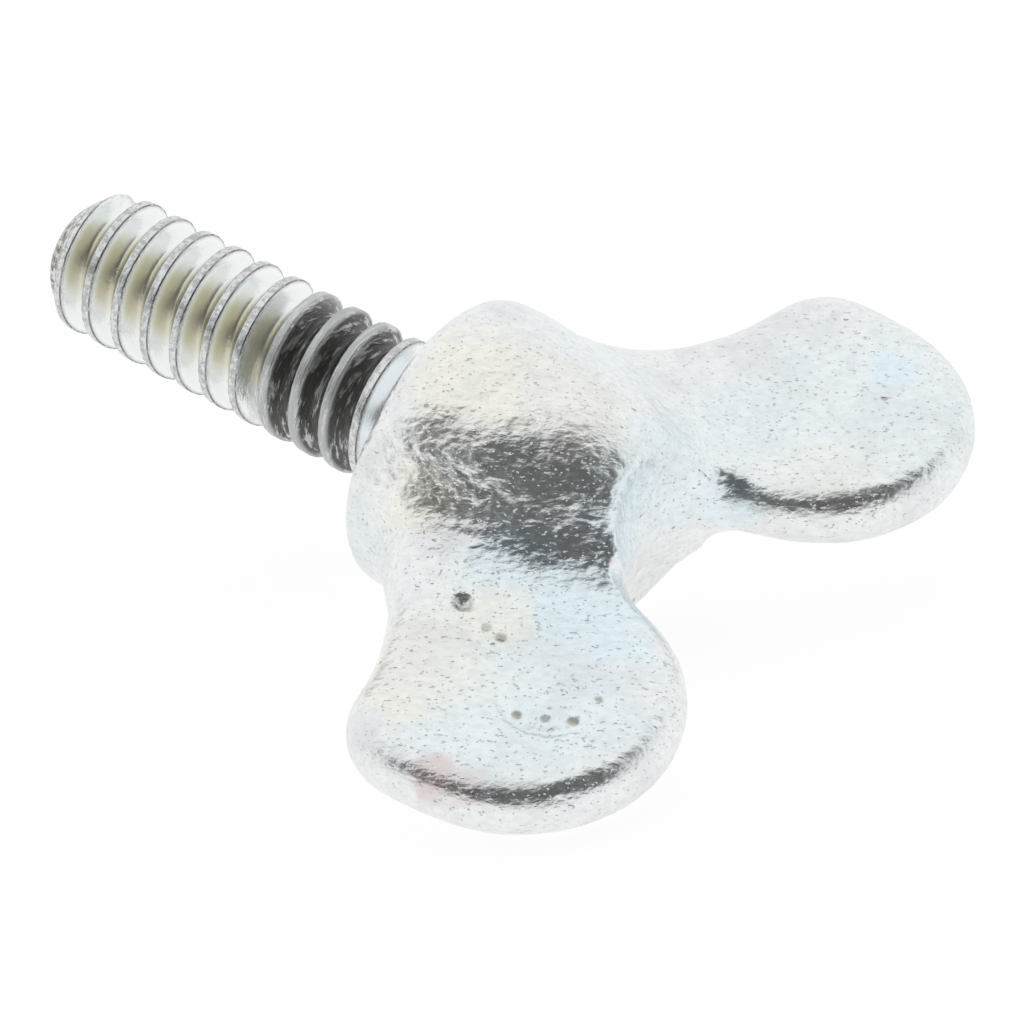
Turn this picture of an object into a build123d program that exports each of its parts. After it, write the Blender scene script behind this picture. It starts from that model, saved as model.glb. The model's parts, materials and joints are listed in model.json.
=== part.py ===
"""Wing screw: one forged and plated steel solid, lying on its hub and one ear.

The screw lies in its rest pose. The lying plane holds both wings: its x runs across them,
its y runs up the screw axis from tip to crown, and its origin is the hub's bearing face.
"""

import os
from math import asin, atan2, cos, degrees, hypot, radians, sin

from build123d import *

# --- Driving dimensions, in millimetres and degrees ---------------------------------------

# Shank: the plain envelope over the crests of a 24-per-inch thread.
THREAD_MAJOR_R = 2.15
SHANK_LENGTH = 13.0
TIP_FLAT_R = 1.35
TIP_TAPER = 0.75

# Hub: a squat barrel with a rounded rim, narrower at the crown between the wings.
HUB_R = 4.45
HUB_RIM_R = 0.6
BELLY_R = 13.8
CROWN_HEIGHT = 7.25
BLANK_HEIGHT = 9.0

# Wings: round ears with a flatter side, which turn through a heel into a hollow flank.
WING_THICKNESS = 2.0
WING_EDGE_R = 0.95
EAR_X = 7.07
EAR_Y = 8.0
EAR_R = 4.65
SIDE_R = 12.0
SIDE_SWEEP = 5.5
HEEL_R = 2.2
HEEL_SWEEP = 69
FLANK_R = 13.5
FLANK_SWEEP = 30.5

# Rest pose: the screw's weight acts this far above the bearing face, so it rocks back on its
# belly until that point is over the touching point, and rolls until one ear touches too.
BALANCE_HEIGHT = 2.49
ROLL = 10.0

TOLERANCE = 1e-3

# --- Values worked out from them ----------------------------------------------------------

wing_half = WING_THICKNESS / 2
belly_sweep = degrees(asin((BLANK_HEIGHT - HUB_RIM_R) / BELLY_R))

# The belly is an arc about a point beyond the screw axis, at the height of the rim's top.
belly_offset = BELLY_R - HUB_R
tilt = atan2(BALANCE_HEIGHT - HUB_RIM_R, belly_offset)
roll = radians(ROLL)
bearing_height = BELLY_R - belly_offset * cos(tilt) + HUB_RIM_R * sin(tilt)

# Lengthwise, the origin is half-way between the ears' far edge and the tip's lower corner.
ear_lean = sin(roll) * sin(tilt)
ear_ring = (EAR_R - WING_EDGE_R) * hypot(ear_lean, cos(tilt)) + WING_EDGE_R
ear_flat = (wing_half - WING_EDGE_R) * cos(roll) * sin(tilt)
ears_reach = EAR_X * ear_lean + EAR_Y * cos(tilt) + ear_ring + ear_flat
tip_reach = SHANK_LENGTH * cos(tilt) + TIP_FLAT_R * sin(tilt)

# The valley between the ears is one arc: tangent to both ears, lowest at the crown.
crown_to_ear = EAR_Y - CROWN_HEIGHT
valley_r = (EAR_X**2 + crown_to_ear**2 - EAR_R**2) / (2 * (EAR_R + crown_to_ear))
valley_bearing = degrees(atan2(CROWN_HEIGHT + valley_r - EAR_Y, -EAR_X))

lying = Plane(
    origin=(0, (tip_reach - ears_reach) / 2, bearing_height),
    x_dir=(cos(roll), -sin(roll) * sin(tilt), -sin(roll) * cos(tilt)),
    z_dir=(sin(roll), cos(roll) * sin(tilt), cos(roll) * cos(tilt)),
)
screw_axis = Axis(lying.origin, lying.y_dir)
through_wings = Axis(lying.origin, lying.z_dir)


def is_outline_wall(face):
    """Tell whether a face is one of the walls that the wing outline was extruded into."""
    return face.geom_type == GeomType.CYLINDER and face.axis_of_rotation.is_parallel(through_wings)


def is_outer_edge(edge):
    """Tell whether an edge runs round a wing, and not along the crown or under a wing."""
    middle = lying.to_local_coords(edge @ 0.5)
    along_crown = abs(middle.X) < TOLERANCE
    through_wing = abs(middle.Z) < TOLERANCE
    under_wing = hypot(middle.X, middle.Z) < HUB_R + TOLERANCE and middle.Y < CROWN_HEIGHT / 2
    return not (along_crown or through_wing or under_wing)


# --- Wing screw ---------------------------------------------------------------------------

with BuildPart() as wing_screw:
    # Hub blank, turned about the screw axis. It stands taller than the crown for now.
    with BuildSketch(lying):
        with BuildLine():
            bearing = Line((0, 0), (HUB_R - HUB_RIM_R, 0))
            rim = JernArc(bearing @ 1, (1, 0), HUB_RIM_R, 90)
            belly = JernArc(rim @ 1, rim % 1, BELLY_R, belly_sweep)
            Polyline(belly @ 1, (0, BLANK_HEIGHT), bearing @ 0)
        make_face()
    revolve(axis=screw_axis)

    # Wing blank: the outline of both wings, with the valley between the ears still filled.
    with BuildSketch(lying, mode=Mode.PRIVATE) as wing_outline:
        with BuildLine():
            ear = CenterArc((EAR_X, EAR_Y), EAR_R, valley_bearing, -valley_bearing)
            side = JernArc(ear @ 1, ear % 1, SIDE_R, -SIDE_SWEEP)
            heel = JernArc(side @ 1, side % 1, HEEL_R, -HEEL_SWEEP)
            flank = JernArc(heel @ 1, heel % 1, FLANK_R, FLANK_SWEEP)
            mirror(about=Plane.YZ)
            valley_end = ear @ 0
            flank_end = flank @ 1
            ThreePointArc(valley_end, (0, CROWN_HEIGHT), (-valley_end.X, valley_end.Y))
            Line(flank_end, (-flank_end.X, flank_end.Y))
        make_face()
    with BuildSketch(lying):
        add(wing_outline.sketch_local)
        with Locations((0, (CROWN_HEIGHT + BLANK_HEIGHT) / 2)):
            Rectangle(2 * EAR_X, BLANK_HEIGHT - CROWN_HEIGHT)
    extrude(amount=wing_half, both=True)

    # Valley, cut through both blanks at once.
    with BuildSketch(lying):
        with Locations((0, CROWN_HEIGHT + BLANK_HEIGHT / 2)):
            Rectangle(2 * EAR_X, BLANK_HEIGHT)
        add(wing_outline.sketch_local, mode=Mode.SUBTRACT)
    extrude(amount=HUB_R, both=True, mode=Mode.SUBTRACT)

    walls = wing_screw.faces().filter_by(is_outline_wall)
    fillet(walls.edges().filter_by(is_outer_edge), WING_EDGE_R)

    # Shank with its tapered tip.
    with BuildSketch(lying):
        with BuildLine():
            Polyline(
                (0, HUB_RIM_R),
                (THREAD_MAJOR_R, HUB_RIM_R),
                (THREAD_MAJOR_R, TIP_TAPER - SHANK_LENGTH),
                (TIP_FLAT_R, -SHANK_LENGTH),
                (0, -SHANK_LENGTH),
                close=True,
            )
        make_face()
    revolve(axis=screw_axis)

wing_screw.part.label = "wing_screw"

os.makedirs("parts", exist_ok=True)
export_step(wing_screw.part, "parts/wing_screw.step")
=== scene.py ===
"""Wing screw: its forged head, its rolled thread, their zinc finish and a plain studio."""

import json
import logging
from dataclasses import dataclass
from enum import Enum
from functools import reduce
from math import cos, radians, sin, tau

import bmesh
import bpy
import numpy as np
from bpy.types import Material, Mesh, Node, NodeSocket, NodeTree, Object, bpy_prop_collection
from mathutils import Matrix, Vector


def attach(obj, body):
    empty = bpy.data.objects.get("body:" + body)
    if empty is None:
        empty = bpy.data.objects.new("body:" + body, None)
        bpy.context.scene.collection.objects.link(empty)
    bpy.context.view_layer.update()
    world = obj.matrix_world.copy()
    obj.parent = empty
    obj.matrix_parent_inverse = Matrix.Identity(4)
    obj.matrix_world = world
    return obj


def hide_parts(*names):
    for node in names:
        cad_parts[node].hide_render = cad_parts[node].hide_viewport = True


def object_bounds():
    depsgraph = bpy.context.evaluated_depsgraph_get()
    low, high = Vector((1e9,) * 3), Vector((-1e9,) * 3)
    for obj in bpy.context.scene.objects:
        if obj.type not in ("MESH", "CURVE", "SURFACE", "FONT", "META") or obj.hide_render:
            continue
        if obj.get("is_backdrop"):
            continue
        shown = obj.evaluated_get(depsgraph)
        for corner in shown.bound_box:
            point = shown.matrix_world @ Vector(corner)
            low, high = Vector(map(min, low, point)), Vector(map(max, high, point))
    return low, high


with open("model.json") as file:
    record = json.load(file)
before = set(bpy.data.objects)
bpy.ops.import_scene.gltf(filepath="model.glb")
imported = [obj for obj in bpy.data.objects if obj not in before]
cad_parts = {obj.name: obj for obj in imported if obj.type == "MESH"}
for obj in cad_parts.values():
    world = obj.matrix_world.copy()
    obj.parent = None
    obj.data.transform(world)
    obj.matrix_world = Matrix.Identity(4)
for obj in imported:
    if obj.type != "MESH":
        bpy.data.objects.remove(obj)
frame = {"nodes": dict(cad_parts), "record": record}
cad_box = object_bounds()

NODE = "wing_screw"
BODY = "root"
MM = 0.001

Place = tuple[float, float, float]
Colour = tuple[float, float, float]
Edge = tuple[float, float]
Value = object
Layers = tuple[tuple[Value, Value], ...]
log = logging.getLogger("wing_screw")


# --- Node trees ---------------------------------------------------------------------------


class Port(Enum):
    """Kinds of socket on a node group."""

    GEOMETRY = "NodeSocketGeometry"
    MATERIAL = "NodeSocketMaterial"
    FLOAT = "NodeSocketFloat"
    INT = "NodeSocketInt"
    VECTOR = "NodeSocketVector"


class Graph:
    """A node tree under construction, with short calls for the nodes that this file uses."""

    def __init__(self, tree: NodeTree) -> None:
        """Keep the tree to add nodes to."""
        self.tree = tree

    def put(self, value: Value, socket: NodeSocket) -> None:
        """Feed a socket.

        Args:
            value: another node's output socket, or a constant.
            socket: the input socket to feed.
        """
        if isinstance(value, NodeSocket):
            self.tree.links.new(value, socket)
        else:
            socket.default_value = value

    def add(self, kind: str, inputs: dict | None = None, **settings: Value) -> Node:
        """Add a node.

        Args:
            kind: the node's type name.
            inputs: values or sockets by input name or index.
            settings: the node's own properties.

        Returns:
            The new node.
        """
        node = self.tree.nodes.new(kind)
        for name, value in settings.items():
            setattr(node, name, value)
        for name, value in (inputs or {}).items():
            self.put(value, node.inputs[name])
        return node

    def out(self, kind: str, inputs: dict | None = None, **settings: Value) -> NodeSocket:
        """Add a node and give its first output."""
        return self.add(kind, inputs, **settings).outputs[0]

    def math(self, operation: str, *values: Value) -> NodeSocket:
        """Work out one number with a Math node, from sockets or constants."""
        return self.out("ShaderNodeMath", dict(enumerate(values)), operation=operation)

    def product(self, *values: Value) -> NodeSocket:
        """Multiply two or more numbers."""
        return reduce(lambda first, second: self.math("MULTIPLY", first, second), values)

    def vector(self, operation: str, *values: Value) -> Node:
        """Add a Vector Math node, whose outputs are a vector and a value."""
        return self.add("ShaderNodeVectorMath", dict(enumerate(values)), operation=operation)

    def call(self, group: "Graph", inputs: dict) -> Node:
        """Add a node that runs a shader group."""
        return self.add("ShaderNodeGroup", inputs, node_tree=group.tree)

    def ramp(
        self, value: Value, low: Value, high: Value, start: Value = 0.0, end: Value = 1.0
    ) -> NodeSocket:
        """Turn smoothly from start to end, while a number goes from low to high."""
        inputs = {"Value": value, "From Min": low, "From Max": high, "To Min": start, "To Max": end}
        return self.out("ShaderNodeMapRange", inputs, interpolation_type="SMOOTHSTEP")

    def blend(self, share: Value, first: Value, second: Value) -> NodeSocket:
        """Mix two colours, with the given share of the second."""
        inputs = {0: share, 6: opaque(first), 7: opaque(second)}
        return self.add("ShaderNodeMix", inputs, data_type="RGBA").outputs[2]

    def noise(
        self, place: Value, per_mm: Value, detail: float, rough: float = 0.5, twist: float = 0.0
    ) -> NodeSocket:
        """Read a noise pattern, from 0 to 1, with so many features to the millimetre."""
        inputs = {
            "Vector": place,
            "Scale": per_mm,
            "Detail": detail,
            "Roughness": rough,
            "Distortion": twist,
        }
        return self.out("ShaderNodeTexNoise", inputs)


def opaque(colour: Value) -> Value:
    """Add a full alpha to a plain colour; leave a socket as it is."""
    return (*colour, 1.0) if isinstance(colour, tuple) and len(colour) == 3 else colour


def port_of(value: Value) -> Port:
    """Tell the kind of socket that holds a value."""
    kinds = {float: Port.FLOAT, int: Port.INT, Material: Port.MATERIAL}
    return kinds[type(value)]


def new_group(name: str, kind: str, inputs: dict[str, Port], outputs: dict[str, Port]) -> Graph:
    """Make an empty node group.

    Args:
        name: the group's name.
        kind: "ShaderNodeTree" or "GeometryNodeTree".
        inputs: its input sockets by name.
        outputs: its output sockets by name.

    Returns:
        The graph of the new group.
    """
    tree = bpy.data.node_groups.new(name, kind)
    for name, port in inputs.items():
        tree.interface.new_socket(name=name, in_out="INPUT", socket_type=port.value)
    for name, port in outputs.items():
        tree.interface.new_socket(name=name, in_out="OUTPUT", socket_type=port.value)
    return Graph(tree)


def finish_tree(graph: Graph, geometry: Value, material: Value) -> None:
    """End a geometry tree with smooth faces, real instances and a material.

    Args:
        graph: the tree's graph.
        geometry: the geometry socket so far.
        material: the material socket.
    """
    smooth = graph.out("GeometryNodeSetShadeSmooth", {"Geometry": geometry})
    real = graph.out("GeometryNodeRealizeInstances", {"Geometry": smooth})
    dressed = graph.out("GeometryNodeSetMaterial", {"Geometry": real, "Material": material})
    graph.add("NodeGroupOutput", {"Geometry": dressed})


def placed(name: str, data: Mesh | bpy.types.Camera) -> Object:
    """Put a mesh or a camera into the scene as a new object."""
    thing = bpy.data.objects.new(name, data)
    bpy.context.scene.collection.objects.link(thing)
    return thing


def grown(
    name: str, mesh: Mesh, graph: Graph, values: dict[str, Value]
) -> Object:
    """Run a geometry tree on a mesh and keep its result as a plain mesh.

    Args:
        name: the new object's name.
        mesh: what the tree starts from.
        graph: the tree.
        values: the tree's inputs by name.

    Returns:
        The object, with the result for its mesh and no modifier.
    """
    thing = placed(name, mesh)
    modifier = thing.modifiers.new("Form", "NODES")
    modifier.node_group = graph.tree
    for item in graph.tree.interface.items_tree:
        if item.in_out == "INPUT" and item.name in values:
            modifier[item.identifier] = values[item.name]
    depsgraph = bpy.context.evaluated_depsgraph_get()
    result = bpy.data.meshes.new_from_object(thing.evaluated_get(depsgraph))
    thing.modifiers.remove(modifier)
    thing.data = result
    return thing


class Metal(Graph):
    """A fully metallic material under construction."""

    def __init__(self, name: str) -> None:
        """Start the material.

        Args:
            name: its name.
        """
        self.made = bpy.data.materials.new(name)
        self.made.use_nodes = True
        super().__init__(self.made.node_tree)
        self.shader = self.tree.nodes["Principled BSDF"]
        self.shader.inputs["Metallic"].default_value = 1.0

    def finish(
        self, base: Colour, layers: Layers, matt: Value, relief: Value, depth: float
    ) -> Material:
        """Lay tints over a base colour, and set the roughness and the relief.

        Args:
            base: the colour under all layers.
            layers: shares and tints, in the order in which they are laid.
            matt: the roughness.
            relief: the height of the surface, from 0 to 1.
            depth: what a height of 1 comes to, in millimetres.

        Returns:
            The material.
        """
        colour = base
        for share, tint in layers:
            colour = self.blend(share, colour, tint)
        bump = {"Height": relief, "Distance": depth * MM, "Strength": 1.0}
        self.put(colour, self.shader.inputs["Base Color"])
        self.put(matt, self.shader.inputs["Roughness"])
        self.put(self.out("ShaderNodeBump", bump), self.shader.inputs["Normal"])
        return self.made


def declare(piece: Object) -> None:
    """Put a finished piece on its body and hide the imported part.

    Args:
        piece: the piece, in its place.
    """
    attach(piece, BODY)
    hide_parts(NODE)
    mesh = piece.data
    log.info("%s: %d points, %d faces", piece.name, len(mesh.vertices), len(mesh.polygons))


# --- Where the screw lies -----------------------------------------------------------------


@dataclass(frozen=True)
class ScrewFrame:
    """The screw's own axes, with its origin at the middle of the bearing face.

    Its x runs along the wings, its y stands on their faces, and its z runs up the axis from
    the tip to the crown. Lengths along them are in millimetres.
    """

    origin: Vector
    along_wings: Vector
    off_wings: Vector
    up_axis: Vector

    @classmethod
    def from_record(cls, record: dict) -> "ScrewFrame":
        """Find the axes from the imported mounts.

        Args:
            record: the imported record.

        Returns:
            The screw's frame.
        """
        mounts = {mount["name"]: mount for mount in record["mounts"]}
        shank, bearing = mounts["threaded_shank"], mounts["bearing_face"]
        up_axis = -Vector(shank["axis"]).normalized()
        origin = Vector(shank["pos_m"]) + up_axis * shank["dims"]["length_mm"] * MM / 2
        along_wings = (origin - Vector(bearing["pos_m"])).normalized()
        return cls(origin, along_wings, up_axis.cross(along_wings), up_axis)

    def to_world(self) -> Matrix:
        """Give the matrix from the screw's millimetres to the world's metres."""
        axes = Matrix((self.along_wings, self.off_wings, self.up_axis)).transposed().to_4x4()
        return Matrix.Translation(self.origin) @ axes @ Matrix.Scale(MM, 4)

    def mapped(self, graph: Graph) -> NodeSocket:
        """Add nodes that read a surface's place in the screw's own millimetres.

        Args:
            graph: a material's graph.

        Returns:
            The coordinate socket.
        """
        inward = self.to_world().inverted()
        turn = inward.to_3x3() * MM
        inputs = {
            "Vector": graph.add("ShaderNodeTexCoord").outputs["Object"],
            "Location": inward.translation,
            "Rotation": turn.to_euler(),
            "Scale": (1 / MM, 1 / MM, 1 / MM),
        }
        return graph.out("ShaderNodeMapping", inputs, vector_type="POINT")


# --- Finishes -----------------------------------------------------------------------------


def tint_spot_group() -> Graph:
    """Build the group that tells how far a place is inside a ragged round patch.

    Returns:
        The group, from Vector, Centre, Radius and Rag to Mask.
    """
    inputs = {"Vector": Port.VECTOR, "Centre": Port.VECTOR, "Radius": Port.FLOAT, "Rag": Port.FLOAT}
    graph = new_group("Tint Spot", "ShaderNodeTree", inputs, {"Mask": Port.FLOAT})
    given = graph.add("NodeGroupInput").outputs
    away = graph.vector("DISTANCE", given["Vector"], given["Centre"]).outputs["Value"]
    share = graph.math("DIVIDE", away, given["Radius"])
    share = graph.math("ADD", share, given["Rag"])
    graph.add("NodeGroupOutput", {"Mask": graph.ramp(share, 0.45, 1.0, 1.0, 0.0)})
    return graph


@dataclass(frozen=True)
class ForgeGrain:
    """The orange peel, specks and small pits of a forged and plated skin.

    Sizes are given as features to the millimetre, and the limits are heights of the noise
    between which a feature appears.
    """

    turn: float = -51.0
    stretch: float = 1.7
    coarse: float = 2.4
    fine: float = 5.5
    specks: float = 6.5
    speck_limits: Edge = (0.69, 0.80)
    flecks: float = 12.0
    fleck_limits: Edge = (0.64, 0.80)
    fleck_share: float = 0.3
    pits: float = 1.2
    pit_radius: float = 0.05
    pit_share: float = 0.7
    mottle: float = 5.0
    mottle_limits: Edge = (0.62, 0.36)

    def round_pits(self, graph: Graph, place: Value) -> NodeSocket:
        """Scatter small round pits, each of its own size, at most one to a cell.

        Args:
            graph: the graph to add to.
            place: the coordinate, in millimetres.

        Returns:
            A mask that is 1 in the middle of a pit.
        """
        warp_noise = graph.add("ShaderNodeTexNoise", {"Vector": place, "Scale": 6.0})
        warp = warp_noise.outputs["Color"]
        shift = graph.vector("MULTIPLY_ADD", warp, (0.12, 0.12, 0.12), place).outputs[0]
        cells = graph.add("ShaderNodeTexVoronoi", {"Vector": shift, "Scale": self.pits})
        chance = graph.out("ShaderNodeSeparateColor", {0: cells.outputs["Color"]})
        size = graph.product(graph.math("POWER", chance, 1.6), self.pit_radius * 2.2)
        edge = graph.product(size, 0.45)
        return graph.ramp(cells.outputs["Distance"], edge, size, 1.0, 0.0)

    def group(self) -> Graph:
        """Build the grain's node group.

        Returns:
            The group, from Vector, Peel and Pitting to Height, Pits and Mottle.
        """
        inputs = {"Vector": Port.VECTOR, "Peel": Port.FLOAT, "Pitting": Port.FLOAT}
        outputs = {"Height": Port.FLOAT, "Pits": Port.FLOAT, "Mottle": Port.FLOAT}
        graph = new_group("Forge Grain", "ShaderNodeTree", inputs, outputs)
        given = graph.add("NodeGroupInput").outputs
        lay = {
            "Vector": given["Vector"],
            "Rotation": (0.0, radians(self.turn), 0.0),
            "Scale": (self.stretch, 1.0, 1.0),
        }
        place = graph.out("ShaderNodeMapping", lay, vector_type="TEXTURE")
        coarse = graph.noise(place, self.coarse, 2.0, 0.5, 0.3)
        fine = graph.noise(place, self.fine, 2.0, 0.5, 0.2)
        peel = graph.math("MULTIPLY_ADD", fine, 0.45, graph.product(coarse, 0.7))
        specks = graph.ramp(graph.noise(place, self.specks, 3.0, 0.6, 0.6), *self.speck_limits)
        flecks = graph.ramp(graph.noise(place, self.flecks, 1.0), *self.fleck_limits)
        pits = graph.math("MAXIMUM", specks, graph.product(flecks, self.fleck_share))
        round_pits = graph.product(self.round_pits(graph, place), self.pit_share)
        pits = graph.product(graph.math("MAXIMUM", pits, round_pits), given["Pitting"])
        height = graph.math("SUBTRACT", graph.product(peel, given["Peel"]), pits)
        mottle = graph.ramp(graph.noise(place, self.mottle, 3.0, 0.65), *self.mottle_limits)
        graph.add("NodeGroupOutput", {"Height": height, "Pits": pits, "Mottle": mottle})
        return graph


@dataclass(frozen=True)
class TintSpot:
    """A patch where the plating leans to a tint: its centre and radius in millimetres."""

    centre: Place
    radius: float
    share: float = 1.0


Spots = tuple[TintSpot, ...]


@dataclass(frozen=True)
class SkinFinish:
    """Bright zinc over a forged skin, with pale blue and straw patches and dark pits."""

    grain: Graph
    spot: Graph
    silver: Colour = (0.89, 0.90, 0.895)
    dull: Colour = (0.70, 0.71, 0.72)
    blue: Colour = (0.76, 0.90, 0.96)
    straw: Colour = (0.93, 0.91, 0.80)
    pit: Colour = (0.20, 0.18, 0.12)
    rust: Colour = (0.66, 0.47, 0.44)
    cloud_share: float = 0.55
    blue_share: float = 0.8
    straw_share: float = 0.75
    mottle_share: float = 0.4
    pit_share: float = 0.6
    rag: float = 1.4
    matt: float = 0.24
    cloud_matt: float = 0.12
    pit_matt: float = 0.3
    grain_depth: float = 0.06
    blue_spots: Spots = (
        TintSpot((-4.2, 1.2, 6.4), 2.4, 0.9),
        TintSpot((-4.0, 1.0, 8.2), 2.6, 1.0),
        TintSpot((-7.2, 1.0, 9.2), 3.6, 0.55),
        TintSpot((-9.6, 1.0, 8.2), 2.4, 0.5),
        TintSpot((-0.9, 1.6, 7.3), 2.2, 0.9),
        TintSpot((1.3, 1.6, 7.2), 2.6, 0.6),
        TintSpot((4.8, 1.0, 7.2), 2.4, 0.5),
        TintSpot((7.4, 1.0, 9.4), 4.2, 0.4),
        TintSpot((9.3, 1.0, 9.1), 1.1, 1.0),
        TintSpot((2.4, 0.4, 8.4), 1.1, 0.8),
        TintSpot((3.0, 2.6, 3.6), 2.4, 0.35),
        TintSpot((-4.2, -0.4, 0.6), 1.8, 0.4),
    )
    straw_spots: Spots = (
        TintSpot((-1.2, 3.9, 2.3), 2.6, 1.0),
        TintSpot((-2.0, 3.8, 2.1), 0.9, 1.0),
        TintSpot((-0.2, 3.6, 4.6), 2.2, 0.5),
        TintSpot((-3.9, 1.8, 2.6), 1.5, 0.9),
        TintSpot((-5.7, 1.0, 6.3), 1.5, 0.8),
        TintSpot((-8.4, 1.0, 5.9), 2.6, 0.6),
        TintSpot((-9.8, 1.0, 6.4), 1.0, 0.9),
        TintSpot((4.7, 1.0, 10.2), 2.0, 0.35),
    )
    rust_spots: Spots = (
        TintSpot((-11.2, 0.6, 8.4), 0.8, 0.55),
        TintSpot((-11.0, 0.6, 9.2), 0.7, 0.35),
    )
    dark_spots: Spots = (
        TintSpot((-5.80, 1.12, 5.35), 0.36, 0.85),
        TintSpot((-6.16, 1.0, 6.37), 0.20, 0.6),
        TintSpot((-6.22, 1.0, 6.91), 0.22, 0.7),
        TintSpot((-8.30, 1.0, 8.94), 0.20, 0.8),
        TintSpot((-7.96, 1.0, 9.61), 0.20, 0.7),
        TintSpot((-7.58, 1.0, 10.23), 0.20, 0.8),
        TintSpot((-6.50, 1.0, 10.27), 0.18, 0.7),
    )

    def tints(self, graph: Graph, place: Value, rag: Value, spots: Spots) -> NodeSocket:
        """Join the masks of several patches.

        Args:
            graph: the material's graph.
            place: the coordinate, in millimetres.
            rag: how far the patches' edges wander, as a share of their radius.
            spots: the patches.

        Returns:
            The socket of the joined mask.
        """
        joined = 0.0
        for spot in spots:
            inputs = {"Vector": place, "Centre": spot.centre, "Radius": spot.radius, "Rag": rag}
            mask = graph.call(self.spot, inputs).outputs["Mask"]
            joined = graph.math("MAXIMUM", graph.product(mask, spot.share), joined)
        return joined

    def material(self, place_in: ScrewFrame) -> Material:
        """Make the head's material.

        Args:
            place_in: the screw's frame.

        Returns:
            The material.
        """
        graph = Metal("forged_zinc")
        place = place_in.mapped(graph)
        grain = graph.call(self.grain, {"Vector": place, "Peel": 1.0, "Pitting": 1.0}).outputs
        cloud = graph.noise(place, 0.5, 4.0, 0.65)
        rag = graph.math("SUBTRACT", graph.noise(place, 0.8, 5.0, 0.65), 0.5)
        rag = graph.product(rag, self.rag)
        blue = self.tints(graph, place, rag, self.blue_spots)
        straw = self.tints(graph, place, rag, self.straw_spots)
        layers = (
            (graph.ramp(cloud, 0.42, 0.68, 0.0, self.cloud_share), self.dull),
            (graph.product(blue, self.blue_share), self.blue),
            (graph.product(straw, self.straw_share), self.straw),
            (self.tints(graph, place, rag, self.rust_spots), self.rust),
            (self.tints(graph, place, rag, self.dark_spots), self.pit),
            (graph.product(grain["Mottle"], self.mottle_share), self.dull),
            (graph.product(grain["Pits"], self.pit_share), self.pit),
        )
        matt = graph.math("MULTIPLY_ADD", cloud, self.cloud_matt, self.matt)
        matt = graph.math("MULTIPLY_ADD", grain["Pits"], self.pit_matt, matt)
        return graph.finish(self.silver, layers, matt, grain["Height"], self.grain_depth)


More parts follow.
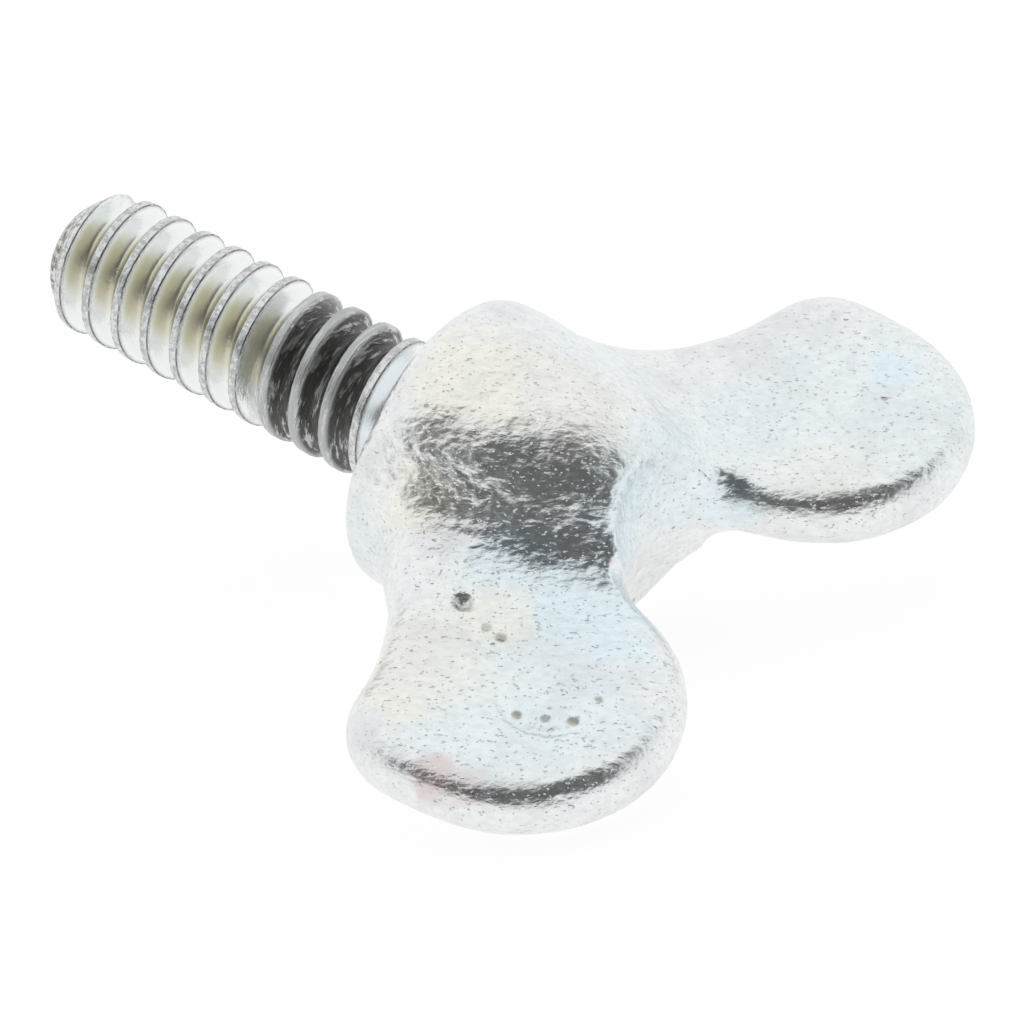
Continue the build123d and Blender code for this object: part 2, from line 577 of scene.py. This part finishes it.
@dataclass(frozen=True)
class ThreadFinish:
    """Plated thread: grey flats with painted shade lines along their edges, valleys with a painted
    highlight and olive plating, and grime in the last turns.
    """

    grain: Graph
    crest_share: float
    flat: Colour = (0.72, 0.73, 0.73)
    # Dark grey for random mottle, wear at the tip, and the painted shade lines along the crest
    # edges.
    dark_mottle_and_edge_shade: Colour = (0.10, 0.10, 0.09)
    # Painted highlight: the valleys are coloured brighter than the grey crests.
    flank: Colour = (0.90, 0.93, 0.94)
    olive: Colour = (0.70, 0.68, 0.54)
    grime: Colour = (0.09, 0.09, 0.085)
    edge_shade_width: float = 0.05
    valley_start: float = 0.12
    valley_deep: float = 0.50
    collar: float = -1.5
    chamfer: float = -11.8
    olive_upper: Edge = (1.3, 0.5)
    olive_lower: Edge = (-1.55, -0.8)
    grime_start: Edge = (-4.5, -3.5)
    grime_end: Edge = (-1.3, -1.8)
    grime_rag: float = 1.6
    scratches: Edge = (0.50, 0.62)
    matt: float = 0.22
    grain_depth: float = 0.03

    def olive_share(self, graph: Graph, across: Value, sides: list[NodeSocket]) -> NodeSocket:
        """Tell where the plating is olive: deep in the valleys, on the side that faces up.

        Args:
            graph: the material's graph.
            across: how far a place is from the crest's middle, from 0 to 1.
            sides: its three coordinates, in millimetres.

        Returns:
            The mask's socket.
        """
        deep = graph.ramp(across, self.crest_share + 0.02, self.valley_deep)
        clear = graph.ramp(sides[2], self.collar + 0.3, self.collar - 0.2)
        climb = graph.math("MULTIPLY_ADD", sides[0], 0.74, graph.product(sides[1], 0.67))
        upper = graph.ramp(climb, *self.olive_upper)
        lower = graph.ramp(climb, *self.olive_lower)
        facing = graph.math("MULTIPLY_ADD", graph.product(upper, lower), 0.85, 0.15)
        return graph.product(deep, clear, facing)

    def material(self, place_in: ScrewFrame) -> Material:
        """Make the thread's material.

        Args:
            place_in: the screw's frame.

        Returns:
            The material.
        """
        graph = Metal("rolled_zinc")
        place = place_in.mapped(graph)
        grain = graph.call(self.grain, {"Vector": place, "Peel": 0.35, "Pitting": 0.5}).outputs
        across = graph.add("ShaderNodeAttribute", attribute_name="across").outputs["Fac"]
        sides = list(graph.add("ShaderNodeSeparateXYZ", {0: place}).outputs)
        height = sides[2]
        drawn_out = graph.vector("MULTIPLY", place, (0.5, 0.5, 5.0)).outputs[0]
        streak = graph.noise(drawn_out, 2.2, 4.0, 0.7)
        ragged = graph.noise(place, 5.0, 3.0, 0.7)

        # Painted shade: a dark line along each crest's edges, broken up by noise.
        off_line = graph.math("ABSOLUTE", graph.math("SUBTRACT", across, self.crest_share))
        dark_mottle_and_edge_shade = graph.ramp(off_line, self.edge_shade_width, self.edge_shade_width * 0.3)
        dark_mottle_and_edge_shade = graph.product(dark_mottle_and_edge_shade, graph.ramp(ragged, 0.36, 0.56))
        # The valleys: they take the painted highlight, and the grime is darker there.
        valley = graph.ramp(across, self.crest_share, self.crest_share + self.valley_start)
        olive = self.olive_share(graph, across, sides)
        cut = graph.ramp(height, self.chamfer, self.chamfer - 0.3)
        worn = graph.blend(graph.ramp(ragged, 0.58, 0.42), self.flat, self.dark_mottle_and_edge_shade)

        edge = graph.math("MULTIPLY_ADD", streak, self.grime_rag, height)
        dirty = graph.ramp(edge, *self.grime_start)
        dirty = graph.product(dirty, graph.ramp(height, *self.grime_end))
        low = graph.math("MULTIPLY_ADD", valley, 0.55, 0.40)
        unscratched = graph.ramp(streak, *self.scratches, 1.0, 0.3)
        dark = graph.product(dirty, low, unscratched)

        layers = (
            (graph.product(graph.ramp(ragged, 0.6, 0.4), 0.4), self.dark_mottle_and_edge_shade),
            (valley, self.flank),
            (graph.product(olive, 0.95), self.olive),
            (graph.product(dark_mottle_and_edge_shade, 0.85), self.dark_mottle_and_edge_shade),
            (graph.product(cut, 0.8), worn),
            (graph.product(dirty, 0.85), self.flat),
            (dark, self.grime),
        )
        matt = graph.math("MULTIPLY_ADD", olive, 0.14, self.matt)
        matt = graph.math("MULTIPLY_ADD", dark, 0.2, matt)
        groove = graph.math("MULTIPLY_ADD", dark, 1.2, 0.25)
        relief = graph.math("MULTIPLY_ADD", streak, groove, grain["Height"])
        return graph.finish(self.flat, layers, matt, relief, self.grain_depth)


# --- The head -----------------------------------------------------------------------------


class MeshArrays:
    """A mesh's points and links as arrays, for smoothing that only fills or only shaves."""

    def __init__(self, mesh: Mesh) -> None:
        """Read a mesh.

        Args:
            mesh: the mesh to read and later write back to.
        """
        self.mesh = mesh
        self.points = self.read(mesh.vertices, "co", 3)
        links = np.zeros(len(mesh.edges) * 2, int)
        mesh.edges.foreach_get("vertices", links)
        self.first, self.second = links.reshape(-1, 2).T
        self.count = np.bincount(links, minlength=len(self.points))[:, None]

    @staticmethod
    def read(items: bpy_prop_collection, name: str, width: int) -> np.ndarray:
        """Read one attribute of many items.

        Args:
            items: the collection.
            name: the attribute.
            width: numbers to each item.

        Returns:
            An array with a row to each item.
        """
        flat = np.zeros(len(items) * width)
        items.foreach_get(name, flat)
        return flat.reshape(-1, width)

    def relaxed(self, passes: int) -> np.ndarray:
        """Even the points out.

        Args:
            passes: how many times each point moves half-way to its neighbours' middle.

        Returns:
            The evened points; the mesh stays as it is.
        """
        points = self.points.copy()
        size = len(points)
        for _ in range(passes):
            total = np.zeros_like(points)
            for axis in range(3):
                column = points[:, axis]
                total[:, axis] = np.bincount(self.first, column[self.second], size)
                total[:, axis] += np.bincount(self.second, column[self.first], size)
            points = (points + total / self.count) / 2
        return points

    def normals(self) -> np.ndarray:
        """Give each point's outward normal, after writing the points back."""
        self.write()
        return self.read(self.mesh.vertices, "normal", 3)

    def shift(self, passes: int, share: np.ndarray, low: float, high: float) -> None:
        """Move points along their normals towards the evened shape, within limits.

        Args:
            passes: strength of the evening.
            share: how much each point takes part, from 0 to 1.
            low: furthest inward move, in millimetres.
            high: furthest outward move, in millimetres.
        """
        normals = self.normals()
        move = ((self.relaxed(passes) - self.points) * normals).sum(1)
        self.points += normals * (np.clip(move, low, high) * share)[:, None]

    def write(self) -> None:
        """Write the points back to the mesh."""
        self.mesh.vertices.foreach_set("co", self.points.ravel())
        self.mesh.update()


def ease(value: np.ndarray, low: float, high: float) -> np.ndarray:
    """Turn smoothly from 0 at low to 1 at high."""
    part = np.clip((value - low) / (high - low), 0.0, 1.0)
    return part * part * (3.0 - 2.0 * part)


class Measure(Enum):
    """What a zone of the head is measured along."""

    ACROSS = "along the wings"
    SPAN = "along the wings, either way"
    OFF = "off the wing faces"
    HEIGHT = "off the wing faces, either way"
    UP = "up the axis"
    REACH = "out from the axis"


@dataclass(frozen=True)
class Limit:
    """One edge of a zone: where along a measure its share is none, and where it is full."""

    measure: Measure
    none: float
    full: float


@dataclass(frozen=True)
class Evening:
    """One smoothing: its passes, how far it moves the skin in and out, and its zone."""

    passes: int
    low: float
    high: float
    zone: tuple[Limit, ...] = ()


@dataclass(frozen=True)
class Dent:
    """A dent pressed into the skin, or a swelling where its depth is below zero."""

    centre: Place
    radius: float
    depth: float


@dataclass
class Head:
    """Hub and wings as one forging, with soft roots, orange peel and dents."""

    place_in: ScrewFrame
    voxel: float = 0.105

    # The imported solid's own sizes.
    hub_radius: float = 4.45
    belly_radius: float = 13.8
    rim_height: float = 0.6
    crown_height: float = 7.25
    wing_half: float = 1.0

    # The crown, lower on both sides of the wings.
    valley_radius: float = 2.68
    valley_share: float = 0.95
    shoulder_height: float = 7.0
    shoulder_radius: float = 3.65
    shoulder_off: Edge = (0.5, 1.3)
    free_span: Edge = (2.4, 3.4)
    free_lift: float = 4.0

    # The wing roots, and the necks below them.
    root_radius: float = 5.0
    root_foot: Edge = (-1.0, 1.0)
    neck_height: float = 2.1
    neck_slope: float = 0.95
    neck_depth: float = 0.5
    neck_outer: Edge = (7.0, 4.8)
    neck_inner: Edge = (3.4, 3.8)
    neck_top: Edge = (1.6, 0.3)
    neck_foot: Edge = (-1.2, -0.6)
    neck_thickness: Edge = (2.0, 1.2)

    # The roughness of the skin, and where it is coarser: on the hub, above the first wing.
    peel_size: float = 0.42
    peel_depth: float = 0.03
    lump_size: float = 1.7
    lump_depth: float = 0.06
    rough_depth: float = 0.10
    rough_size: float = 0.26
    rough_across: tuple[Edge, Edge] = ((0.6, -0.8), (-4.9, -4.0))
    rough_off: tuple[Edge, Edge] = ((1.1, 1.7), (4.0, 3.3))
    seed: float = 3.7

    # A crescent mark, struck into the first wing.
    crescent_centre: Place = (-7.3, 1.0, 9.2)
    crescent_radius: float = 1.25
    crescent_width: float = 0.13
    crescent_depth: float = 0.10
    crescent_side: Edge = (-0.2, -0.8)

    # In order: voxel steps, wing roots, necks, the crown's far shoulder, its edges, the hub's
    # rim, and what the others leave.
    evenings: tuple[Evening, ...] = (
        Evening(6, -0.05, 0.05),
        Evening(120, 0.0, 0.8, (Limit(Measure.REACH, 7.4, 5.4), Limit(Measure.UP, 0.3, 1.4))),
        Evening(
            600, 0.0, 1.2,
            (Limit(Measure.HEIGHT, 1.8, 1.2), Limit(Measure.REACH, 3.4, 4.2),
             Limit(Measure.REACH, 8.0, 6.4), Limit(Measure.UP, 5.4, 4.2)),
        ),
        Evening(
            120, -0.45, 0.0,
            (Limit(Measure.ACROSS, -0.2, 0.9), Limit(Measure.ACROSS, 4.2, 3.2),
             Limit(Measure.OFF, 0.9, 1.6), Limit(Measure.UP, 4.6, 6.0)),
        ),
        Evening(
            12, -0.16, 0.0,
            (Limit(Measure.UP, 5.6, 6.4), Limit(Measure.SPAN, 2.9, 2.2),
             Limit(Measure.HEIGHT, 1.2, 1.8)),
        ),
        Evening(
            90, -0.45, 0.0,
            (Limit(Measure.UP, 2.0, 1.0), Limit(Measure.OFF, 1.0, 3.2),
             Limit(Measure.REACH, 3.0, 3.6)),
        ),
        Evening(8, -0.05, 0.05),
    )
    swells: tuple[Dent, ...] = (
        Dent((-2.4, 3.3, 5.2), 3.0, -0.25),
        Dent((-2.6, 3.3, 2.4), 2.6, -0.20),
        Dent((-11.2, 0.0, 5.9), 3.0, -0.10),
        Dent((10.9, 0.0, 5.4), 3.0, -0.12),
    )
    dents: tuple[Dent, ...] = (
        Dent((-5.80, 1.12, 5.35), 0.34, 0.24),
        Dent((-6.16, 1.0, 6.37), 0.16, 0.10),
        Dent((-6.22, 1.0, 6.91), 0.18, 0.10),
        Dent((-8.30, 1.0, 8.94), 0.10, 0.06),
        Dent((-7.96, 1.0, 9.61), 0.10, 0.06),
        Dent((-7.58, 1.0, 10.23), 0.10, 0.06),
        Dent((-6.50, 1.0, 10.27), 0.12, 0.05),
        Dent((-6.17, 1.0, 11.18), 0.10, 0.05),
    )
    piece: Object | None = None

    def blank(self) -> Mesh:
        """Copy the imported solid, without its shank, in the screw's millimetres.

        Returns:
            A closed mesh of the hub and wings.
        """
        mesh = frame["nodes"][NODE].data.copy()
        mesh.transform(self.place_in.to_world().inverted())
        work = bmesh.new()
        work.from_mesh(mesh)
        bmesh.ops.remove_doubles(work, verts=work.verts, dist=1e-3)
        shank = [v for v in work.verts if v.co.z < -0.01]
        bmesh.ops.delete(work, geom=shank, context="VERTS")
        rim = [e for e in work.edges if e.is_boundary]
        bmesh.ops.holes_fill(work, edges=rim, sides=0)
        bmesh.ops.recalc_face_normals(work, faces=work.faces)
        work.to_mesh(mesh)
        work.free()
        return mesh

    def even(self, mesh: Mesh) -> Mesh:
        """Remake a mesh with small even faces.

        Args:
            mesh: a closed mesh.

        Returns:
            The new mesh.
        """
        thing = placed("head_blank", mesh)
        modifier = thing.modifiers.new("Even", "REMESH")
        modifier.mode = "VOXEL"
        modifier.voxel_size = self.voxel
        depsgraph = bpy.context.evaluated_depsgraph_get()
        result = bpy.data.meshes.new_from_object(thing.evaluated_get(depsgraph))
        bpy.data.objects.remove(thing)
        return result

    def saddle(self, mesh: Mesh) -> None:
        """Lower the crown on both sides of the wings.

        Args:
            mesh: the even mesh, changed in place.
        """
        arrays = MeshArrays(mesh)
        across, off, up = arrays.points.T
        span, height = np.abs(across), np.abs(off)
        inside = np.minimum(span, self.valley_share * self.valley_radius)
        drop = np.sqrt(self.valley_radius**2 - inside**2)
        middle = self.crown_height + self.valley_radius - drop
        side = self.shoulder_height + inside**2 / (2 * self.shoulder_radius)
        limit = middle + (side - middle) * ease(height, *self.shoulder_off)
        limit = limit + self.free_lift * ease(span, *self.free_span)
        arrays.points[:, 2] = np.minimum(up, limit)
        arrays.write()

    def root(self, mesh: Mesh) -> None:
        """Cut the necks, and fill the corner between hub and wing faces with a round fillet.

        Args:
            mesh: the even mesh, changed in place.
        """
        arrays = MeshArrays(mesh)
        across, off, up = arrays.points.T
        span, height = np.abs(across), np.abs(off)
        rise = np.maximum(up - self.rim_height, 0.0)
        hub = np.sqrt(self.belly_radius**2 - rise**2) - self.belly_radius + self.hub_radius
        above_neck = up - self.neck_height - self.neck_slope * (span - self.hub_radius)
        cut = ease(span, *self.neck_outer) * ease(span, *self.neck_inner)
        cut *= ease(above_neck, *self.neck_top) * ease(height, *self.neck_thickness)
        cut *= ease(above_neck, *self.neck_foot)
        arrays.points[:, 2] -= self.neck_depth * cut
        radius = self.root_radius * ease(above_neck, *self.root_foot) + 1e-3
        square = (hub + radius) ** 2 - (self.wing_half + radius) ** 2
        middle = np.sqrt(np.maximum(square, 0.0))
        within = (span > middle * hub / (hub + radius)) & (span < middle)
        within &= height > 0.9 * self.wing_half
        drop = np.sqrt(np.maximum(radius**2 - (middle - span) ** 2, 0.0))
        fillet = self.wing_half + radius - drop
        raised = np.where(within, np.maximum(height, fillet), height)
        arrays.points[:, 1] = np.copysign(raised, off)
        arrays.write()

    def soften(self, arrays: MeshArrays) -> None:
        """Blend the wings into the hub, and round the crown's edges and the rim.

        Args:
            arrays: the even mesh's points, changed in place.
        """
        across, off, up = arrays.points.T.copy()
        measures = {
            Measure.ACROSS: across,
            Measure.SPAN: np.abs(across),
            Measure.OFF: off,
            Measure.HEIGHT: np.abs(off),
            Measure.UP: up,
            Measure.REACH: np.hypot(across, off),
        }
        for evening in self.evenings:
            share = np.ones(len(across))
            for limit in evening.zone:
                share *= ease(measures[limit.measure], limit.none, limit.full)
            arrays.shift(evening.passes, share, evening.low, evening.high)

    def press(self, arrays: MeshArrays) -> None:
        """Raise the swellings, then press the dents and the crescent mark.

        Args:
            arrays: the softened points, changed in place and written to the mesh.
        """
        for dent in self.swells + self.dents:
            normals = arrays.normals()
            away = np.linalg.norm(arrays.points - np.array(dent.centre), axis=1)
            depth = ease(away, dent.radius, dent.radius * 0.2) * dent.depth
            arrays.points -= normals * depth[:, None]
        offset = arrays.points - np.array(self.crescent_centre)
        ring = (np.linalg.norm(offset, axis=1) - self.crescent_radius) / self.crescent_width
        ring = np.exp(-(ring**2)) * ease(offset[:, 0], *self.crescent_side)
        arrays.points -= arrays.normals() * (ring * self.crescent_depth)[:, None]
        arrays.write()

    def skin(self, values: dict[str, Value]) -> Graph:
        """Build the tree that roughens the skin.

        Args:
            values: what the tree's inputs will be.

        Returns:
            The tree's graph.
        """
        inputs = {"Geometry": Port.GEOMETRY}
        inputs |= {name: port_of(value) for name, value in values.items()}
        graph = new_group("Forged Skin", "GeometryNodeTree", inputs, {"Geometry": Port.GEOMETRY})
        given = graph.add("NodeGroupInput").outputs
        place = graph.out("GeometryNodeInputPosition")
        seeded = graph.vector("ADD", place, given["seed"]).outputs[0]
        patterns = {
            "peel": (1.0, 2.0, 0.5, 0.0),
            "lump": (1.0, 1.0, 0.4, 0.0),
            "rough": (0.75, 3.0, 0.55, 0.3),
        }
        sunk = {}
        for name, (top, *pattern) in patterns.items():
            per_mm = graph.math("DIVIDE", 1.0, given[f"{name}_size"])
            below = graph.math("SUBTRACT", graph.noise(seeded, per_mm, *pattern), top)
            sunk[name] = graph.product(below, given[f"{name}_depth"])
        side = graph.add("ShaderNodeSeparateXYZ", {0: place}).outputs
        zone = [graph.ramp(side[0], *edge) for edge in self.rough_across]
        zone += [graph.ramp(side[1], *edge) for edge in self.rough_off]
        depth = graph.math("ADD", sunk["peel"], sunk["lump"])
        depth = graph.math("ADD", depth, graph.product(sunk["rough"], *zone))
        scale = {0: graph.out("GeometryNodeInputNormal"), "Scale": depth}
        offset = graph.out("ShaderNodeVectorMath", scale, operation="SCALE")
        move = {"Geometry": given["Geometry"], "Offset": offset}
        finish_tree(graph, graph.out("GeometryNodeSetPosition", move), given["Material"])
        return graph

    def build(self, material: Material) -> Object:
        """Make the head and dress it.

        Args:
            material: its finish.

        Returns:
            The head, riding on its body.
        """
        mesh = self.even(self.blank())
        self.saddle(mesh)
        self.root(mesh)
        mesh = self.even(mesh)
        arrays = MeshArrays(mesh)
        self.soften(arrays)
        self.press(arrays)
        names = "peel_size peel_depth lump_size lump_depth rough_size rough_depth seed"
        values = {name: getattr(self, name) for name in names.split()}
        values["Material"] = material
        self.piece = grown("head", mesh, self.skin(values), values)
        self.piece.data.transform(self.place_in.to_world())
        declare(self.piece)
        return self.piece


# --- The thread ---------------------------------------------------------------------------


@dataclass
class Thread:
    """The rolled thread over the shank, with its tapered tip and its run-out at the hub."""

    place_in: ScrewFrame
    pitch: float = 25.4 / 24
    major: float = 2.15
    minor: float = 1.62
    length: float = 12.7
    tip_radius: float = 1.25
    taper: float = 0.9
    taper_power: float = 0.8
    tip_blend: float = 0.12
    crest_share: float = 0.24
    flank_share: float = 0.72
    flank_power: float = 1.7
    crest_height: float = -1.31
    crest_bearing: float = 131.2
    collar_radius: float = 2.02
    run_out: float = -0.75
    run_out_length: float = 0.5
    buried: float = 0.4
    around: int = 160
    rows: int = 440
    cap_rows: int = 6
    piece: Object | None = None

    def groove(
        self, graph: Graph, given: dict, height: Value, turn: Value
    ) -> tuple[NodeSocket, NodeSocket]:
        """Work out the thread's radius, without the tip's taper.

        Args:
            graph: the tree's graph.
            given: the tree's inputs.
            height: place along the axis.
            turn: place round the axis, from 0 to 1.

        Returns:
            The radius, and how far a place is from the crest's middle, from 0 to 1.
        """
        wound = graph.math("DIVIDE", height, given["pitch"])
        wound = graph.math("SUBTRACT", graph.math("SUBTRACT", wound, turn), given["start"])
        phase = graph.math("FRACT", graph.math("ADD", wound, 0.5))
        off_crest = graph.math("ABSOLUTE", graph.math("MULTIPLY_ADD", phase, 2.0, -1.0))
        sunk = graph.math("SUBTRACT", off_crest, given["crest_share"])
        sunk = graph.math("DIVIDE", sunk, given["flank_share"])
        sunk = graph.math("MINIMUM", graph.math("MAXIMUM", sunk, 0.0), 1.0)
        sunk = graph.math("POWER", graph.math("SUBTRACT", 1.0, sunk), self.flank_power)
        sunk = graph.math("SUBTRACT", 1.0, sunk)
        deep = graph.math("SUBTRACT", given["major"], given["minor"])
        end = graph.math("ADD", given["run_out"], self.run_out_length)
        edges = (height, end, given["run_out"])
        deep = graph.product(deep, graph.ramp(*edges))
        top = graph.ramp(*edges, given["collar_radius"], given["major"])
        return graph.math("SUBTRACT", top, graph.product(sunk, deep)), off_crest

    def form(self, values: dict[str, Value]) -> Graph:
        """Build the tree that turns a flat grid into the threaded shank.

        Args:
            values: what the tree's inputs will be.

        Returns:
            The tree's graph.
        """
        inputs = {name: port_of(value) for name, value in values.items()}
        graph = new_group("Rolled Thread", "GeometryNodeTree", inputs, {"Geometry": Port.GEOMETRY})
        given = graph.add("NodeGroupInput").outputs
        counts = {"Vertices X": given["around"], "Vertices Y": given["rows"]}
        grid = graph.out("GeometryNodeMeshGrid", counts)
        position = graph.out("GeometryNodeInputPosition")
        place = graph.add("ShaderNodeSeparateXYZ", {0: position}).outputs
        turn = graph.math("ADD", place[0], 0.5)
        rise = graph.math("ADD", place[1], 0.5)

        # The first and last rows close the ends; the others share out the length.
        cap = given["cap_share"]
        to_end = graph.math("MINIMUM", rise, graph.math("SUBTRACT", 1.0, rise))
        closing = graph.math("MINIMUM", graph.math("DIVIDE", to_end, cap), 1.0)
        span = graph.math("MULTIPLY_ADD", cap, -2.0, 1.0)
        part = graph.math("DIVIDE", graph.math("SUBTRACT", rise, cap), span)
        part = graph.math("MINIMUM", graph.math("MAXIMUM", part, 0.0), 1.0)
        whole = graph.math("ADD", given["length"], given["buried"])
        height = graph.math("SUBTRACT", graph.product(part, whole), given["length"])

        radius, off_crest = self.groove(graph, given, height, turn)
        from_tip = graph.math("DIVIDE", graph.math("ADD", height, given["length"]), given["taper"])
        from_tip = graph.math("POWER", from_tip, self.taper_power)
        wider = graph.math("SUBTRACT", given["major"], given["tip_radius"])
        cone = graph.math("MULTIPLY_ADD", from_tip, wider, given["tip_radius"])
        radius = graph.math("SMOOTH_MIN", radius, cone, self.tip_blend)
        radius = graph.product(radius, closing)
        angle = graph.product(turn, tau)
        parts = {
            "X": graph.product(graph.math("COSINE", angle), radius),
            "Y": graph.product(graph.math("SINE", angle), radius),
            "Z": height,
        }
        position = graph.out("ShaderNodeCombineXYZ", parts)

        # The attribute is stored before the grid moves, because it is worked out from the grid.
        store = {"Geometry": grid, "Name": "across", "Value": off_crest}
        settings = {"data_type": "FLOAT", "domain": "POINT"}
        stored = graph.out("GeometryNodeStoreNamedAttribute", store, **settings)
        move = {"Geometry": stored, "Position": position}
        moved = graph.out("GeometryNodeSetPosition", move)
        join = {"Geometry": moved, "Distance": 1e-4}
        merged = graph.out("GeometryNodeMergeByDistance", join)
        finish_tree(graph, merged, given["Material"])
        return graph

    def build(self, material: Material) -> Object:
        """Make the thread and dress it.

        Args:
            material: its finish.

        Returns:
            The thread, riding on its body.
        """
        names = "pitch major minor length tip_radius taper crest_share flank_share "
        names += "collar_radius run_out buried rows"
        values = {name: getattr(self, name) for name in names.split()}
        values["start"] = self.crest_height / self.pitch - self.crest_bearing / 360
        values["cap_share"] = self.cap_rows / (self.rows - 1)
        values["around"] = self.around + 1
        values["Material"] = material
        start = bpy.data.meshes.new("thread_start")
        self.piece = grown("thread", start, self.form(values), values)
        close_up(self.piece.data)
        self.piece.data.transform(self.place_in.to_world())
        declare(self.piece)
        return self.piece


def close_up(mesh: Mesh) -> None:
    """Drop faces without area, and point the rest outward.

    Args:
        mesh: a closed mesh, changed in place.
    """
    work = bmesh.new()
    work.from_mesh(mesh)
    bmesh.ops.dissolve_degenerate(work, edges=work.edges, dist=1e-5)
    bmesh.ops.recalc_face_normals(work, faces=work.faces)
    work.to_mesh(mesh)
    work.free()


# --- The studio ---------------------------------------------------------------------------


@dataclass
class Studio:
    """A white floor, a white tent with one dark opening, and the camera."""

    # The camera: its direction and distance from the screw, and where it aims beside it.
    azimuth: float = 126.57
    elevation: float = 27.11
    roll: float = -1.785
    distance: float = 0.14928
    lens: float = 188.55
    aim_side: float = 2.231
    aim_down: float = 2.212

    # The floor, which glows white to the camera and keeps the screw's shadow.
    floor_radius: float = 3.0
    floor_colour: Colour = (0.96, 0.96, 0.96)
    glow: float = 1.06
    glow_share: float = 0.85

    # The tent: the light of its cloth, and the opening that the metal mirrors.
    cloth: Colour = (0.985, 0.995, 1.0)
    dark_rise: float = 39.0
    dark_height: float = 33.0
    dark_width: float = 96.0
    dark_turn: float = 15.0
    dark_lean: float = 0.2
    dark_level: float = 0.08
    dark_edge: Edge = (0.62, 1.03)

    def build_camera(self, place_in: ScrewFrame) -> None:
        """Stand the camera where the screw is seen from above its crown.

        Args:
            place_in: the screw's frame.
        """
        data = bpy.data.cameras.new("camera")
        data.sensor_width = 36.0
        data.lens = self.lens
        data.clip_start, data.clip_end = 0.01, 20.0
        camera = placed("camera", data)
        turn, lift = radians(self.azimuth), radians(self.elevation)
        back = Vector((sin(turn) * cos(lift), -cos(turn) * cos(lift), sin(lift)))
        right = Vector((0, 0, 1)).cross(back).normalized()
        right = Matrix.Rotation(radians(self.roll), 3, back) @ right
        up = back.cross(right)
        stand = place_in.origin + back * self.distance
        target = place_in.origin + (right * self.aim_side - up * self.aim_down) * MM
        axis = (stand - target).normalized()
        side = up.cross(axis).normalized()
        axes = Matrix((side, axis.cross(side), axis)).transposed()
        camera.matrix_world = Matrix.Translation(stand) @ axes.to_4x4()
        bpy.context.scene.camera = camera

    def build_floor(self) -> None:
        """Lay the white floor."""
        work = bmesh.new()
        bmesh.ops.create_circle(work, cap_ends=True, segments=96, radius=self.floor_radius)
        mesh = bpy.data.meshes.new("floor")
        work.to_mesh(mesh)
        work.free()
        floor = placed("floor", mesh)
        made = bpy.data.materials.new("white_floor")
        made.use_nodes = True
        graph = Graph(made.node_tree)
        made.node_tree.nodes.clear()
        path = graph.add("ShaderNodeLightPath").outputs
        seen = graph.math("MAXIMUM", path["Is Camera Ray"], path["Is Glossy Ray"])
        share = graph.product(seen, self.glow_share)
        matt = graph.out("ShaderNodeBsdfDiffuse", {"Color": opaque(self.floor_colour)})
        glow = graph.out("ShaderNodeEmission", {"Strength": self.glow})
        mixed = graph.out("ShaderNodeMixShader", {0: share, 1: matt, 2: glow})
        graph.add("ShaderNodeOutputMaterial", {"Surface": mixed})
        mesh.materials.append(made)
        floor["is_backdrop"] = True

    def build_tent(self) -> None:
        """Light the scene with a white tent that has one dark opening, round the camera."""
        world = bpy.data.worlds.new("tent")
        world.use_nodes = True
        bpy.context.scene.world = world
        graph = Graph(world.node_tree)
        world.node_tree.nodes.clear()
        turn = radians(self.azimuth)
        ahead_of, beside = Vector((sin(turn), -cos(turn), 0)), Vector((cos(turn), sin(turn), 0))
        look = graph.add("ShaderNodeTexCoord").outputs["Generated"]
        ahead = graph.vector("DOT_PRODUCT", look, ahead_of).outputs["Value"]
        aside = graph.vector("DOT_PRODUCT", look, beside).outputs["Value"]
        rise = graph.math("ARCSINE", graph.add("ShaderNodeSeparateXYZ", {0: look}).outputs[2])
        wide = graph.math("ARCTAN2", aside, ahead)
        wide = graph.math("SUBTRACT", wide, radians(self.dark_turn))
        tall = graph.math("SUBTRACT", rise, radians(self.dark_rise))
        tall = graph.math("MULTIPLY_ADD", wide, -self.dark_lean, tall)
        wide = graph.math("DIVIDE", wide, radians(self.dark_width))
        tall = graph.math("DIVIDE", tall, radians(self.dark_height))
        squares = graph.math("ADD", graph.product(wide, wide), graph.product(tall, tall))
        away = graph.math("SQRT", squares)
        light = graph.ramp(away, *self.dark_edge, self.dark_level, 1.0)
        lit = {"Color": opaque(self.cloth), "Strength": light}
        tent = graph.out("ShaderNodeBackground", lit)
        white = graph.out("ShaderNodeBackground", {"Color": (1.0, 1.0, 1.0, 1.0)})
        seen = graph.add("ShaderNodeLightPath").outputs["Is Camera Ray"]
        mixed = graph.out("ShaderNodeMixShader", {0: seen, 1: tent, 2: white})
        graph.add("ShaderNodeOutputWorld", {"Surface": mixed})

    def build(self, place_in: ScrewFrame) -> None:
        """Set the whole studio up.

        Args:
            place_in: the screw's frame.
        """
        self.build_floor()
        self.build_tent()
        self.build_camera(place_in)
        bpy.context.scene.view_settings.view_transform = "Standard"
        log.info("studio: camera at azimuth %.1f, elevation %.1f", self.azimuth, self.elevation)


def write_sizes() -> None:
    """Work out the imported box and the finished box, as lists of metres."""
    boxes = {"cad": cad_box, "visual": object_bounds()}
    boxes = {name: [list(corner) for corner in box] for name, box in boxes.items()}


def main() -> None:
    """Build the screw's pieces and the studio in order."""
    logging.basicConfig(level=logging.INFO, format="%(name)s: %(message)s")
    place_in = ScrewFrame.from_record(frame["record"])
    grain, spot = ForgeGrain().group(), tint_spot_group()
    head = Head(place_in)
    head.build(SkinFinish(grain, spot).material(place_in))
    thread = Thread(place_in)
    thread.build(ThreadFinish(grain, thread.crest_share).material(place_in))
    Studio().build(place_in)
    write_sizes()


if __name__ == "__main__":
    main()
